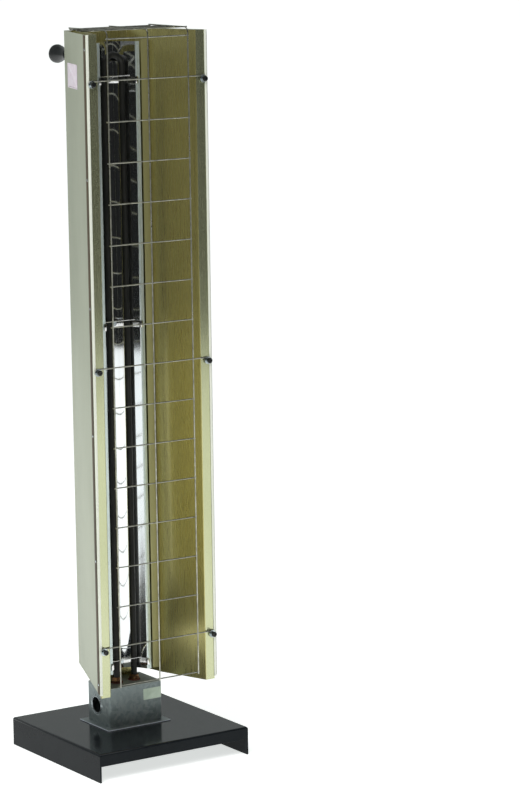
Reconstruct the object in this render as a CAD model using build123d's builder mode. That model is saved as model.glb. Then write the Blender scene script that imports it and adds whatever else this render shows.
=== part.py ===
from build123d import *
import os
from math import cos, radians, sin

# Free-standing electric radiant heater: a black formed base, a terminal box, a double-walled
# V-shaped housing with a mirror trough, a U-shaped sheathed element and a wire guard.
# Millimetres. +Z is up, the heater faces -Y, and the origin is the middle of the base's underside.

os.makedirs("parts", exist_ok=True)

# Base
base_side = 304.8
base_height = 50.8
base_sheet = 3.0
base_bend = 4.0
base_lip = 22.2

# Terminal box, standing on its flange plate
box_width = 106.9
box_front = -23.3
box_back = 52.4
box_top = 123.7
box_sheet = 1.2
flange_plate_width = 130.0
flange_plate_front = -36.0
flange_plate_back = 65.0
flange_plate_sheet = 2.0
knockout_y = 22.4
knockout_z = 85.7
knockout_radius = 14.3

# Housing: the flared wings, seen from above, for the +X side
housing_top = 1277.5
wing_bottom = 134.0
wing_sheet = 0.8
front_y = -103.0
flange_inner_x = 98.0
flange_outer_x = 117.5
panel_bend = (64.0, -6.0)
panel_back_x = 54.0
outer_front_x = 121.0
outer_back_x = 71.0
lip_back_y = 52.4
outer_bottom_front = 139.0
outer_bottom_back = 159.0
back_sheet = 1.0
tongue_bottom = 76.0
tongue_width = 84.0

# Mirror trough: a parabola with the element on its focal line
mirror_half_width = 44.0
mirror_rim_y = -6.5
mirror_vertex_y = 26.0
mirror_sheet = 1.0
mirror_bottom = 144.0
mirror_top = 1257.0

# Heating element
element_y = 11.0
leg_x = 18.0
tube_radius = 5.5
element_top = 1240.0
element_bottom = 108.0

# Wire guard: cross wires at one pitch, three uprights that bend back over the top
wire_radius = 1.2
cross_pitch = 69.85
lowest_long_wire = 221.5
cross_wires = range(-1, 16)
long_wires = (0, 7, 14)
upright_x = 80.0
cross_y = front_y - 1.35
upright_y = cross_y - 1.9
top_cross_z = housing_top + 5.5
top_upright_z = top_cross_z + 1.9
top_wire_ys = (-62.0, -36.0, -10.0, 16.0)
top_bend = 9.0

# Fasteners
screw_x = 111.0
screw_drop = 5.0
rivet_pitch = 219.0
rivet_first = 158.0
support_heights = {"upper": 1191.0, "middle": 765.0, "lower": 157.0}

# Carrying knobs
knob_x = 61.5
knob_z = 1235.7
knob_start = 55.4
knob_length = 43.5
knob_root_radius = 10.0
knob_far_radius = 16.0

# Tip-over switch under the base
switch_x = 100.0
switch_y = 110.0
switch_travel = 6.0
plunger_radius = 2.95

box_middle_y = (box_front + box_back) / 2
box_depth = box_back - box_front
box_floor = base_height + flange_plate_sheet
base_top_under = base_height - base_sheet
box_bolt_spots = [(x, y) for x in (-40.0, 40.0) for y in (-11.0, 40.0)]
leg_spots = [(-leg_x, element_y), (leg_x, element_y)]
guard_screw_spots = [
    (side * screw_x, lowest_long_wire + row * cross_pitch - screw_drop)
    for side in (-1, 1)
    for row in long_wires
]
back_screw_rows = [170.0 + 205.0 * row for row in range(6)]
wire_hole = (8.0, 21.0)


def outer_wall_x(y):
    """Outside face of the +X wing at depth y."""
    slope = (outer_back_x - outer_front_x) / (lip_back_y - front_y)
    return outer_front_x + slope * (y - front_y)


def rail_wing_x(y):
    """Inner face of the +X wing behind its bend, at depth y."""
    slope = (panel_back_x - panel_bend[0]) / (lip_back_y - wing_sheet - panel_bend[1])
    return panel_bend[0] + slope * (y - panel_bend[1])


def parabola(x):
    """Depth of the mirror's polished face at x."""
    return mirror_vertex_y - (mirror_vertex_y - mirror_rim_y) * (x / mirror_half_width) ** 2


# ---------------------------------------------------------------- base
skirt_x = base_side / 2
with BuildPart() as base_plate:
    Box(base_side, base_side, base_height, align=(Align.CENTER, Align.CENTER, Align.MIN))
    fillet(base_plate.faces().sort_by(Axis.Z)[-1].edges(), radius=base_bend)
    offset(amount=-base_sheet, openings=base_plate.faces().sort_by(Axis.Z)[0])
    # only the two side skirts reach the ground; front and rear are short lips
    Box(
        base_side - 2 * base_sheet, base_side + 2, base_height - base_lip,
        align=(Align.CENTER, Align.CENTER, Align.MIN),
        mode=Mode.SUBTRACT,
    )
    with Locations(*[(x, y, base_height) for x, y in box_bolt_spots]):
        Hole(radius=2.7, depth=base_sheet + 1)
    with Locations((*wire_hole, base_height)):
        Hole(radius=4.6, depth=base_sheet + 1)
base_plate.part.label = "base_plate"
export_step(base_plate.part, "parts/base_plate.step")

# ---------------------------------------------------------------- terminal box
plate_depth = flange_plate_back - flange_plate_front
plate_middle_y = (flange_plate_back + flange_plate_front) / 2
with BuildPart() as box_flange_plate:
    with BuildSketch(Plane.XY.offset(base_height)):
        with Locations((0, plate_middle_y)):
            RectangleRounded(flange_plate_width, plate_depth, 3)
    extrude(amount=flange_plate_sheet)
    chamfer(box_flange_plate.faces().sort_by(Axis.Z)[-1].edges(), length=0.9)
    with Locations(*[(x, y, box_floor) for x, y in box_bolt_spots]):
        Hole(radius=2.7, depth=5)
    with Locations((*wire_hole, box_floor)):
        Hole(radius=4.6, depth=5)
box_flange_plate.part.label = "box_flange_plate"
export_step(box_flange_plate.part, "parts/box_flange_plate.step")

cover_underside = box_top - box_sheet
with BuildPart() as terminal_box:
    with BuildSketch(Plane.XY.offset(box_floor)):
        with Locations((0, box_middle_y)):
            RectangleRounded(box_width, box_depth, 2.5)
    extrude(amount=cover_underside - box_floor)
    box_mouth = terminal_box.faces().sort_by(Axis.Z)[-1]
    offset(amount=-box_sheet, openings=box_mouth)
    with BuildSketch(Plane.YZ.offset(-box_width / 2 - 1)):
        with Locations((knockout_y, knockout_z)):
            Circle(knockout_radius)
    extrude(amount=box_sheet + 2, mode=Mode.SUBTRACT)
    with Locations(*[(x, y, box_floor + 2) for x, y in box_bolt_spots]):
        Hole(radius=2.7, depth=4)
    with Locations((*wire_hole, box_floor + 2)):
        Hole(radius=4.6, depth=4)
    with BuildSketch(Plane.XZ.offset(-box_back - 1)):
        with Locations((-30, 100), (30, 100), (-30, 84), (30, 84)):
            Circle(2.2)
    extrude(amount=box_sheet + 2, mode=Mode.SUBTRACT)
terminal_box.part.label = "terminal_box"
export_step(terminal_box.part, "parts/terminal_box.step")

lip_gap = box_sheet + 0.3
cover_screw_spots = [(-44.0, 42.0), (44.0, 42.0)]
with BuildPart() as box_cover:
    with BuildSketch(Plane.XY.offset(cover_underside)):
        with Locations((0, box_middle_y)):
            RectangleRounded(box_width, box_depth, 2.5)
    extrude(amount=box_sheet)
    with BuildSketch(Plane.XY.offset(cover_underside)):
        with Locations((0, box_middle_y)):
            RectangleRounded(box_width - 2 * lip_gap, box_depth - 2 * lip_gap, 3)
            RectangleRounded(
                box_width - 2 * lip_gap - 2 * box_sheet,
                box_depth - 2 * lip_gap - 2 * box_sheet,
                1.8,
                mode=Mode.SUBTRACT,
            )
    extrude(amount=-9)
    with Locations(*[(x, y, box_top) for x, y in leg_spots]):
        Hole(radius=7.0, depth=3)
    with Locations(*[(x, y, box_top) for x, y in cover_screw_spots]):
        Hole(radius=2.2, depth=3)
box_cover.part.label = "box_cover"
export_step(box_cover.part, "parts/box_cover.step")

with BuildPart() as box_cover_screws:
    for x, y in cover_screw_spots:
        with BuildSketch(Plane.XY.offset(box_top)):
            with Locations((x, y)):
                Circle(3.8)
        extrude(amount=2.2)
        with BuildSketch(Plane.XY.offset(box_top)):
            with Locations((x, y)):
                Circle(1.95)
        extrude(amount=-8)
    fillet(box_cover_screws.edges().filter_by(GeomType.CIRCLE).group_by(Axis.Z)[-1], radius=1.2)
box_cover_screws.part.label = "box_cover_screws"
export_step(box_cover_screws.part, "parts/box_cover_screws.step")

with BuildPart() as rating_plate:
    with BuildSketch(Plane.XZ.offset(-box_front)):
        with Locations((34.0, 103.0)):
            RectangleRounded(36.5, 20.0, 1.0)
    extrude(amount=0.5)
rating_plate.part.label = "rating_plate"
export_step(rating_plate.part, "parts/rating_plate.step")

inside_floor = box_floor + box_sheet
with BuildPart() as box_bolts:
    for x, y in box_bolt_spots:
        with BuildSketch(Plane.XY.offset(inside_floor)):
            with Locations((x, y)):
                RegularPolygon(4.6, 6)
        extrude(amount=3.5)
        with BuildSketch(Plane.XY.offset(inside_floor)):
            with Locations((x, y)):
                Circle(2.5)
        extrude(amount=-14)
box_bolts.part.label = "box_bolts"
export_step(box_bolts.part, "parts/box_bolts.step")

with BuildPart() as box_nuts:
    for x, y in box_bolt_spots:
        with BuildSketch(Plane.XY.offset(base_top_under - 1.0)):
            with Locations((x, y)):
                RegularPolygon(4.6, 6)
        extrude(amount=-4)
        with BuildSketch(Plane.XY.offset(base_top_under)):
            with Locations((x, y)):
                Circle(5.5)
        extrude(amount=-1.0)
        with BuildSketch(Plane.XY.offset(base_top_under)):
            with Locations((x, y)):
                Circle(2.6)
        extrude(amount=-5, mode=Mode.SUBTRACT)
box_nuts.part.label = "box_nuts"
export_step(box_nuts.part, "parts/box_nuts.step")

# ---------------------------------------------------------------- wiring inside the box
block_y = 42.0
block_top = inside_floor + 16.0
with BuildPart() as terminal_block:
    with BuildSketch(Plane.XY.offset(inside_floor)):
        with Locations((0, block_y)):
            RectangleRounded(52, 16, 1.5)
    extrude(amount=block_top - inside_floor)
    with Locations((0, block_y, block_top)):
        Box(2.5, 16, 5, align=(Align.CENTER, Align.CENTER, Align.MIN))
    with Locations((-13, block_y, block_top), (13, block_y, block_top)):
        Hole(radius=1.7, depth=9)
terminal_block.part.label = "terminal_block"
export_step(terminal_block.part, "parts/terminal_block.step")

with BuildPart() as terminal_screws:
    for x in (-13.0, 13.0):
        with BuildSketch(Plane.XY.offset(block_top + 1.0)):
            with Locations((x, block_y)):
                Circle(3.6)
        extrude(amount=2)
        with BuildSketch(Plane.XY.offset(block_top + 1.0)):
            with Locations((x, block_y)):
                Circle(1.6)
        extrude(amount=-8)
terminal_screws.part.label = "terminal_screws"
export_step(terminal_screws.part, "parts/terminal_screws.step")

pin_bottom = 94.0
lead_radius = 1.7
for side, side_name in ((-1, "left"), (1, "right")):
    with BuildPart() as element_lead:
        with BuildLine() as lead_path:
            FilletPolyline(
                (side * leg_x, element_y, pin_bottom),
                (side * leg_x, element_y, 82),
                (side * 19.0, block_y - 9, block_top + 3.2 + lead_radius),
                (side * 19.0, block_y, block_top + 3.2 + lead_radius),
                radius=5,
            )
        with BuildSketch(Plane(origin=(side * leg_x, element_y, pin_bottom), z_dir=(0, 0, -1))):
            Circle(lead_radius)
        sweep()
    element_lead.part.label = f"element_lead_{side_name}"
    export_step(element_lead.part, f"parts/element_lead_{side_name}.step")

with BuildPart() as ground_screw:
    with BuildSketch(Plane.XY.offset(inside_floor + 1.0)):
        with Locations((-20, -12)):
            RegularPolygon(4.6, 6)
    extrude(amount=4)
    with BuildSketch(Plane.XY.offset(inside_floor)):
        with Locations((-20, -12)):
            Circle(5.5)
    extrude(amount=1.0)
ground_screw.part.label = "ground_screw"
export_step(ground_screw.part, "parts/ground_screw.step")

# ---------------------------------------------------------------- heating element
bend_centre_z = element_top - tube_radius - leg_x
with BuildPart() as element_tube:
    with BuildLine() as element_path:
        Line((-leg_x, element_y, element_bottom), (-leg_x, element_y, bend_centre_z))
        ThreePointArc(
            (-leg_x, element_y, bend_centre_z),
            (0, element_y, bend_centre_z + leg_x),
            (leg_x, element_y, bend_centre_z),
        )
        Line((leg_x, element_y, bend_centre_z), (leg_x, element_y, element_bottom))
    with BuildSketch(Plane.XY.offset(element_bottom)):
        with Locations((-leg_x, element_y)):
            Circle(tube_radius)
    sweep()
element_tube.part.label = "element_tube"
export_step(element_tube.part, "parts/element_tube.step")

gasket_thick = 1.6
bushing_base = box_top + gasket_thick
with BuildPart() as bushing_gaskets:
    with BuildSketch(Plane.XY.offset(box_top)):
        with Locations(*leg_spots):
            Circle(11.0)
            Circle(7.0, mode=Mode.SUBTRACT)
    extrude(amount=gasket_thick)
bushing_gaskets.part.label = "bushing_gaskets"
export_step(bushing_gaskets.part, "parts/bushing_gaskets.step")

with BuildPart() as element_bushings:
    for x, y in leg_spots:
        with BuildSketch(Plane.XY.offset(bushing_base)):
            with Locations((x, y)):
                RegularPolygon(10.0, 6)
        extrude(amount=5)
        with BuildSketch(Plane.XY.offset(bushing_base + 5)):
            with Locations((x, y)):
                Circle(7.6)
        extrude(amount=3.5)
        with BuildSketch(Plane.XY.offset(bushing_base)):
            with Locations((x, y)):
                Circle(6.8)
        extrude(amount=-14)
    with BuildSketch(Plane.XY.offset(box_top - 20)):
        with Locations(*leg_spots):
            Circle(tube_radius + 0.08)
    extrude(amount=40, mode=Mode.SUBTRACT)
element_bushings.part.label = "element_bushings"
export_step(element_bushings.part, "parts/element_bushings.step")

with BuildPart() as bushing_nuts:
    with BuildSketch(Plane.XY.offset(cover_underside)):
        with Locations(*leg_spots):
            RegularPolygon(10.5, 6)
            Circle(6.88, mode=Mode.SUBTRACT)
    extrude(amount=-4.5)
bushing_nuts.part.label = "bushing_nuts"
export_step(bushing_nuts.part, "parts/bushing_nuts.step")

with BuildPart() as pin_insulators:
    with BuildSketch(Plane.XY.offset(element_bottom)):
        with Locations(*leg_spots):
            Circle(4.6)
            Circle(2.1, mode=Mode.SUBTRACT)
    extrude(amount=-7)
pin_insulators.part.label = "pin_insulators"
export_step(pin_insulators.part, "parts/pin_insulators.step")

with BuildPart() as terminal_pins:
    with BuildSketch(Plane.XY.offset(element_bottom)):
        with Locations(*leg_spots):
            Circle(2.0)
    extrude(amount=pin_bottom - element_bottom)
terminal_pins.part.label = "terminal_pins"
export_step(terminal_pins.part, "parts/terminal_pins.step")

# ---------------------------------------------------------------- mirror trough
mirror_steps = [-1 + step / 8 for step in range(17)]
with BuildPart() as mirror_reflector:
    with BuildSketch(Plane.XY.offset(mirror_bottom)):
        with BuildLine():
            front_face = Spline(
                *[(mirror_half_width * s, parabola(mirror_half_width * s)) for s in mirror_steps]
            )
            rear_face = Spline(
                *[
                    (
                        (mirror_half_width + mirror_sheet) * s,
                        parabola(mirror_half_width * s) + mirror_sheet * (1.6 - 0.6 * s * s),
                    )
                    for s in mirror_steps
                ]
            )
            Line(front_face @ 0, rear_face @ 0)
            Line(front_face @ 1, rear_face @ 1)
        make_face()
    extrude(amount=mirror_top - mirror_bottom)
    for z in support_heights.values():
        with BuildSketch(Plane.XZ.offset(-mirror_vertex_y - 4)):
            with Locations((0, z)):
                Circle(2.2)
        extrude(amount=8, mode=Mode.SUBTRACT)
mirror_reflector.part.label = "mirror_reflector"
export_step(mirror_reflector.part, "parts/mirror_reflector.step")

# Hat-shaped stays carry the trough on the back panel, one behind each element support
stay_face = mirror_vertex_y + 1.9
stay_height = 22.0
stay_sheet = 1.5
stay_screw_x = 27.0
stay_foot = lip_back_y - stay_sheet
for stay_name, z in support_heights.items():
    with BuildPart() as mirror_stay:
        with BuildSketch(Plane.XY.offset(z - stay_height / 2)):
            with BuildLine():
                FilletPolyline(
                    (-34, stay_foot), (-18, stay_foot), (-12, stay_face),
                    (12, stay_face), (18, stay_foot), (34, stay_foot),
                    radius=2.5,
                )
                offset(amount=stay_sheet, side=Side.LEFT)
            make_face()
        extrude(amount=stay_height)
        with BuildSketch(Plane.XZ.offset(-stay_face - 4)):
            with Locations((0, z)):
                Circle(2.2)
        extrude(amount=8, mode=Mode.SUBTRACT)
        with BuildSketch(Plane.XZ.offset(-lip_back_y - 3)):
            with Locations((-stay_screw_x, z), (stay_screw_x, z)):
                Circle(2.1)
        extrude(amount=8, mode=Mode.SUBTRACT)
    mirror_stay.part.label = f"mirror_stay_{stay_name}"
    export_step(mirror_stay.part, f"parts/mirror_stay_{stay_name}.step")

# ---------------------------------------------------------------- element supports
# A bright spring strip lies in the trough behind both legs; its ends stand off as flared ears
strip_gap = 0.4
strip_sheet = 0.8
strip_half_height = 6.0
strip_xs = (-30.0, -21.0, -12.5, -5.0, 5.0, 12.5, 21.0, 30.0)
ear_root = (30.5, 3.0)
ear_tip = (34.5, -4.0)
strip_points = [(-ear_tip[0], ear_tip[1]), (-ear_root[0], ear_root[1])]
strip_points += [(x, parabola(x) - strip_gap) for x in strip_xs]
strip_points += [ear_root, ear_tip]
for support_name, z in support_heights.items():
    with BuildPart() as element_support:
        with BuildSketch(Plane.XY.offset(z - strip_half_height)):
            with BuildLine():
                FilletPolyline(*strip_points, radius=2.5)
                offset(amount=strip_sheet, side=Side.RIGHT)
            make_face()
        extrude(amount=2 * strip_half_height)
        with BuildSketch(Plane.XZ.offset(-mirror_vertex_y - 4)):
            with Locations((0, z)):
                Circle(2.2)
        extrude(amount=8, mode=Mode.SUBTRACT)
    element_support.part.label = f"element_support_{support_name}"
    export_step(element_support.part, f"parts/element_support_{support_name}.step")

bail_radius = 0.8
bail_y = element_y - tube_radius - bail_radius - 0.2
bail_half_width = 32.5
bail_rise = strip_half_height + 1.2
with BuildPart() as support_bails:
    for z in support_heights.values():
        with BuildSketch(Plane.YZ.offset(-bail_half_width)):
            with Locations((bail_y, z + bail_rise)):
                Circle(bail_radius)
        extrude(amount=2 * bail_half_width)
        for side in (-1, 1):
            with BuildSketch(Plane.XY.offset(z + bail_rise + bail_radius)):
                with Locations((side * bail_half_width, bail_y)):
                    Circle(bail_radius)
            extrude(amount=-9)
support_bails.part.label = "support_bails"
export_step(support_bails.part, "parts/support_bails.step")

strip_face_y = parabola(5.0) - strip_gap - strip_sheet - 0.1
with BuildPart() as mirror_screws:
    for z in support_heights.values():
        with BuildSketch(Plane.XZ.offset(-strip_face_y)):
            with Locations((0, z)):
                Circle(4.0)
        extrude(amount=2.2)
        with BuildSketch(Plane.XZ.offset(-strip_face_y)):
            with Locations((0, z)):
                Circle(1.95)
        extrude(amount=-11)
mirror_screws.part.label = "mirror_screws"
export_step(mirror_screws.part, "parts/mirror_screws.step")

with BuildPart() as mirror_nuts:
    for z in support_heights.values():
        with BuildSketch(Plane.XZ.offset(-stay_face - stay_sheet)):
            with Locations((0, z)):
                RegularPolygon(4.0, 6)
                Circle(2.0, mode=Mode.SUBTRACT)
        extrude(amount=-3)
mirror_nuts.part.label = "mirror_nuts"
export_step(mirror_nuts.part, "parts/mirror_nuts.step")

# Gold rails that close most of the gap between the mirror's rims and the wings
rail_edge_x = 47.2
rail_corner_x = 61.5
for side, side_name in ((-1, "left"), (1, "right")):
    with BuildPart() as trough_rail:
        with BuildSketch(Plane.XY.offset(mirror_bottom)):
            with BuildLine():
                FilletPolyline(
                    (side * rail_edge_x, mirror_rim_y),
                    (side * rail_corner_x, mirror_rim_y),
                    (side * (rail_wing_x(16) - 0.1), 16),
                    (side * (rail_wing_x(30) - 0.1), 30),
                    radius=[1.5, 4.0],
                )
                offset(amount=wing_sheet, side=Side.RIGHT if side < 0 else Side.LEFT)
            make_face()
        extrude(amount=mirror_top + 3 - mirror_bottom)
    trough_rail.part.label = f"trough_rail_{side_name}"
    export_step(trough_rail.part, f"parts/trough_rail_{side_name}.step")

# ---------------------------------------------------------------- housing
panel_height = housing_top - wing_bottom
diagonal_rise = outer_bottom_back - outer_bottom_front
diagonal_run = lip_back_y - front_y
wing_slope = (outer_front_x - outer_back_x) / diagonal_run
for side, side_name in ((-1, "left"), (1, "right")):
    inward = Side.RIGHT if side == 1 else Side.LEFT
    outward = Side.LEFT if side == 1 else Side.RIGHT
    flange_screw_rows = [lowest_long_wire + row * cross_pitch - screw_drop for row in long_wires]

    # Gold inner panel: return lip, front flange, long panel, steeper rear panel, rear lip
    with BuildPart() as reflector_wing:
        with BuildSketch(Plane.XY.offset(wing_bottom)):
            with BuildLine():
                FilletPolyline(
                    (side * (flange_outer_x - 9 * wing_slope), front_y + 9),
                    (side * flange_outer_x, front_y),
                    (side * flange_inner_x, front_y),
                    (side * panel_bend[0], panel_bend[1]),
                    (side * panel_back_x, lip_back_y - wing_sheet),
                    (side * (panel_back_x - 12), lip_back_y - wing_sheet),
                    radius=[1.5, 3.0, 8.0, 2.0],
                )
                offset(amount=wing_sheet, side=inward)
            make_face()
        extrude(amount=panel_height)
        with BuildSketch(Plane.XZ.offset(-front_y + 5)):
            with Locations(*[(side * screw_x, z) for z in flange_screw_rows]):
                Circle(2.2)
        extrude(amount=-12, mode=Mode.SUBTRACT)
        with BuildSketch(Plane.XZ.offset(-lip_back_y - 3)):
            with Locations(*[(side * (panel_back_x - 6.5), z) for z in back_screw_rows]):
                Circle(2.1)
        extrude(amount=6, mode=Mode.SUBTRACT)
    reflector_wing.part.label = f"reflector_wing_{side_name}"
    export_step(reflector_wing.part, f"parts/reflector_wing_{side_name}.step")

    # Pale outer skin: narrow front return, flared wall with a sloping foot, rear lip
    with BuildPart() as outer_panel:
        with BuildSketch(Plane.XY.offset(wing_bottom)):
            with BuildLine():
                FilletPolyline(
                    (side * (outer_front_x - 1.6), front_y),
                    (side * outer_front_x, front_y),
                    (side * outer_back_x, lip_back_y),
                    (side * (outer_back_x - 13), lip_back_y),
                    radius=[1.0, 2.0],
                )
                offset(amount=wing_sheet, side=outward)
            make_face()
        extrude(amount=panel_height)
        with BuildSketch(Plane.YZ.offset(-outer_front_x - 10)):
            with BuildLine():
                Polyline(
                    (front_y - 10, wing_bottom - 10),
                    (lip_back_y + 10, wing_bottom - 10),
                    (lip_back_y + 10, outer_bottom_back + 10 * diagonal_rise / diagonal_run),
                    (front_y - 10, outer_bottom_front - 10 * diagonal_rise / diagonal_run),
                    close=True,
                )
            make_face()
        extrude(amount=2 * outer_front_x + 20, mode=Mode.SUBTRACT)
        with BuildSketch(Plane.XZ.offset(-lip_back_y - 3)):
            with Locations(*[(side * (outer_back_x - 7), z) for z in back_screw_rows]):
                Circle(2.1)
            with Locations((side * knob_x, knob_z)):
                Circle(4.2)
        extrude(amount=6, mode=Mode.SUBTRACT)
    outer_panel.part.label = f"outer_panel_{side_name}"
    export_step(outer_panel.part, f"parts/outer_panel_{side_name}.step")

# Back panel: full width behind both wings, with a narrower tongue that hangs behind the box
back_inner_y = lip_back_y + 0.1
back_outer_y = back_inner_y + back_sheet
back_half_width = outer_back_x - 0.6
box_screw_spots = [(x, z) for x in (-30.0, 30.0) for z in (84.0, 100.0)]
rear_screw_spots = [
    (side * x, z)
    for side in (-1, 1)
    for x in (outer_back_x - 7, panel_back_x - 6.5)
    for z in back_screw_rows
]
stay_screw_spots = [(side * stay_screw_x, z) for z in support_heights.values() for side in (-1, 1)]
with BuildPart() as back_panel:
    with BuildSketch(Plane.XZ.offset(-back_inner_y)):
        with BuildLine():
            Polyline(
                (-back_half_width, housing_top),
                (-back_half_width, outer_bottom_back),
                (-tongue_width / 2, outer_bottom_back - 10),
                (-tongue_width / 2, tongue_bottom),
                (tongue_width / 2, tongue_bottom),
                (tongue_width / 2, outer_bottom_back - 10),
                (back_half_width, outer_bottom_back),
                (back_half_width, housing_top),
                close=True,
            )
        make_face()
        with Locations(*box_screw_spots, *rear_screw_spots, *stay_screw_spots):
            Circle(2.1, mode=Mode.SUBTRACT)
        with Locations((-knob_x, knob_z), (knob_x, knob_z)):
            Circle(4.2, mode=Mode.SUBTRACT)
    extrude(amount=-back_sheet)
back_panel.part.label = "back_panel"
export_step(back_panel.part, "parts/back_panel.step")

rear_screw_groups = {
    "back_panel_screws": rear_screw_spots,
    "stay_screws": stay_screw_spots,
    "box_back_screws": box_screw_spots,
}
for group_name, spots in rear_screw_groups.items():
    with BuildPart() as rear_screws:
        with BuildSketch(Plane.XZ.offset(-back_outer_y)):
            with Locations(*spots):
                Circle(3.6)
        extrude(amount=-1.9)
        with BuildSketch(Plane.XZ.offset(-back_outer_y)):
            with Locations(*spots):
                Circle(1.95)
        extrude(amount=7)
    rear_screws.part.label = group_name
    export_step(rear_screws.part, f"parts/{group_name}.step")

# Rivets with a spacer collar hold each outer skin to the return lip of the gold panel
rivet_y = front_y + 5.0
rivet_rows = [rivet_first + rivet_pitch * row for row in range(6)]
wall_normal = Vector(diagonal_run, outer_front_x - outer_back_x, 0).normalized()
for side, side_name in ((-1, "left"), (1, "right")):
    rivet_out = Vector(side * wall_normal.X, wall_normal.Y, 0)
    with BuildPart() as seam_rivets:
        for z in rivet_rows:
            wall_spot = Vector(side * outer_wall_x(rivet_y), rivet_y, z)
            with BuildSketch(Plane(origin=wall_spot + rivet_out * 0.05, z_dir=rivet_out)):
                Circle(2.6)
            extrude(amount=0.9)
            collar_spot = wall_spot - rivet_out * (wing_sheet + 0.05)
            with BuildSketch(Plane(origin=collar_spot, z_dir=-rivet_out)):
                Circle(1.9)
            extrude(amount=1.9)
    seam_rivets.part.label = f"seam_rivets_{side_name}"
    export_step(seam_rivets.part, f"parts/seam_rivets_{side_name}.step")

# Blank sticker on the -X wing
sticker_middle_y = -5.0
sticker_out = Vector(-wall_normal.X, wall_normal.Y, 0)
sticker_spot = Vector(-outer_wall_x(sticker_middle_y), sticker_middle_y, 1203.0)
with BuildPart() as side_sticker:
    sticker_plane = Plane(
        origin=sticker_spot + sticker_out * 0.05,
        x_dir=(0, 0, 1),
        z_dir=sticker_out,
    )
    with BuildSketch(sticker_plane):
        RectangleRounded(42, 74, 1.5)
    extrude(amount=0.3)
side_sticker.part.label = "side_sticker"
export_step(side_sticker.part, "parts/side_sticker.step")

# ---------------------------------------------------------------- wire guard
lowest_wire_z = lowest_long_wire + cross_wires[0] * cross_pitch
upright_foot_z = lowest_wire_z - 3
front_grille_top = top_upright_z - top_bend - 1

with BuildPart() as wire_guard:
    for row in cross_wires:
        reach = screw_x + 6 if row in long_wires else upright_x + 3
        with BuildSketch(Plane.YZ.offset(-reach)):
            with Locations((cross_y, lowest_long_wire + row * cross_pitch)):
                Circle(wire_radius)
        extrude(amount=2 * reach)
    for x in (-upright_x, 0, upright_x):
        with BuildSketch(Plane.XY.offset(upright_foot_z)):
            with Locations((x, upright_y)):
                Circle(wire_radius)
        extrude(amount=front_grille_top - upright_foot_z)
wire_guard.part.label = "wire_guard"
export_step(wire_guard.part, "parts/wire_guard.step")

# The guard's top, where the uprights bend back over the housing
with BuildPart() as wire_guard_top:
    for y in top_wire_ys:
        reach = outer_wall_x(y) - 0.6
        with BuildSketch(Plane.YZ.offset(-reach)):
            with Locations((y, top_cross_z)):
                Circle(wire_radius)
        extrude(amount=2 * reach)
    for x in (-upright_x, 0, upright_x):
        with BuildLine():
            FilletPolyline(
                (x, upright_y, front_grille_top),
                (x, upright_y, top_upright_z),
                (x, top_wire_ys[-1] + 3, top_upright_z),
                radius=top_bend,
            )
        with BuildSketch(Plane.XY.offset(front_grille_top)):
            with Locations((x, upright_y)):
                Circle(wire_radius)
        sweep()
wire_guard_top.part.label = "wire_guard_top"
export_step(wire_guard_top.part, "parts/wire_guard_top.step")

screw_face_y = cross_y - wire_radius - 0.05
with BuildPart() as guard_washers:
    with BuildSketch(Plane.XZ.offset(-screw_face_y)):
        with Locations(*guard_screw_spots):
            Circle(6.6)
            Circle(2.15, mode=Mode.SUBTRACT)
    extrude(amount=1.0)
guard_washers.part.label = "guard_washers"
export_step(guard_washers.part, "parts/guard_washers.step")

screw_head_y = screw_face_y - 1.05
with BuildPart() as guard_screws:
    with BuildSketch(Plane.XZ.offset(-screw_head_y)):
        with Locations(*guard_screw_spots):
            Circle(4.4)
    extrude(amount=3.2)
    with BuildSketch(Plane.XZ.offset(-screw_head_y)):
        with Locations(*guard_screw_spots):
            Circle(2.0)
    extrude(amount=-12)
guard_screws.part.label = "guard_screws"
export_step(guard_screws.part, "parts/guard_screws.step")

cap_y = screw_head_y - 3.2
with BuildPart() as guard_screw_caps:
    with BuildSketch(Plane.XZ.offset(-cap_y)):
        with Locations(*guard_screw_spots):
            Circle(4.7)
    extrude(amount=3.4)
    cap_faces = guard_screw_caps.faces().filter_by(Axis.Y).group_by(Axis.Y)[0]
    fillet([edge for face in cap_faces for edge in face.edges()], radius=1.5)
guard_screw_caps.part.label = "guard_screw_caps"
export_step(guard_screw_caps.part, "parts/guard_screw_caps.step")

with BuildPart() as guard_nuts:
    with BuildSketch(Plane.XZ.offset(-(front_y + wing_sheet + 0.1))):
        with Locations(*guard_screw_spots):
            RegularPolygon(4.0, 6)
            Circle(2.08, mode=Mode.SUBTRACT)
    extrude(amount=-3.0)
guard_nuts.part.label = "guard_nuts"
export_step(guard_nuts.part, "parts/guard_nuts.step")

# ---------------------------------------------------------------- carrying knobs
knob_end = knob_start + knob_length
for side, side_name in ((-1, "left"), (1, "right")):
    with BuildPart() as carry_knob:
        with BuildSketch(Plane.YZ.offset(side * knob_x)):
            with BuildLine():
                Polyline(
                    (knob_start, knob_z),
                    (knob_start, knob_z + knob_root_radius),
                    (knob_start + 4, knob_z + knob_root_radius),
                )
                Spline(
                    (knob_start + 4, knob_z + knob_root_radius),
                    (knob_end - 13, knob_z + knob_far_radius),
                    (knob_end - 4, knob_z + 12.5),
                    (knob_end, knob_z),
                    tangents=((1, 0.1), (0, -1)),
                )
                Line((knob_end, knob_z), (knob_start, knob_z))
            make_face()
        knob_axis = Axis((side * knob_x, knob_start, knob_z), (0, 1, 0))
        revolve(axis=knob_axis)
        with BuildSketch(Plane.XZ.offset(-knob_start)):
            with Locations((side * knob_x, knob_z)):
                Circle(3.1)
        extrude(amount=-18, mode=Mode.SUBTRACT)
    carry_knob.part.label = f"carry_knob_{side_name}"
    export_step(carry_knob.part, f"parts/carry_knob_{side_name}.step")

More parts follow.
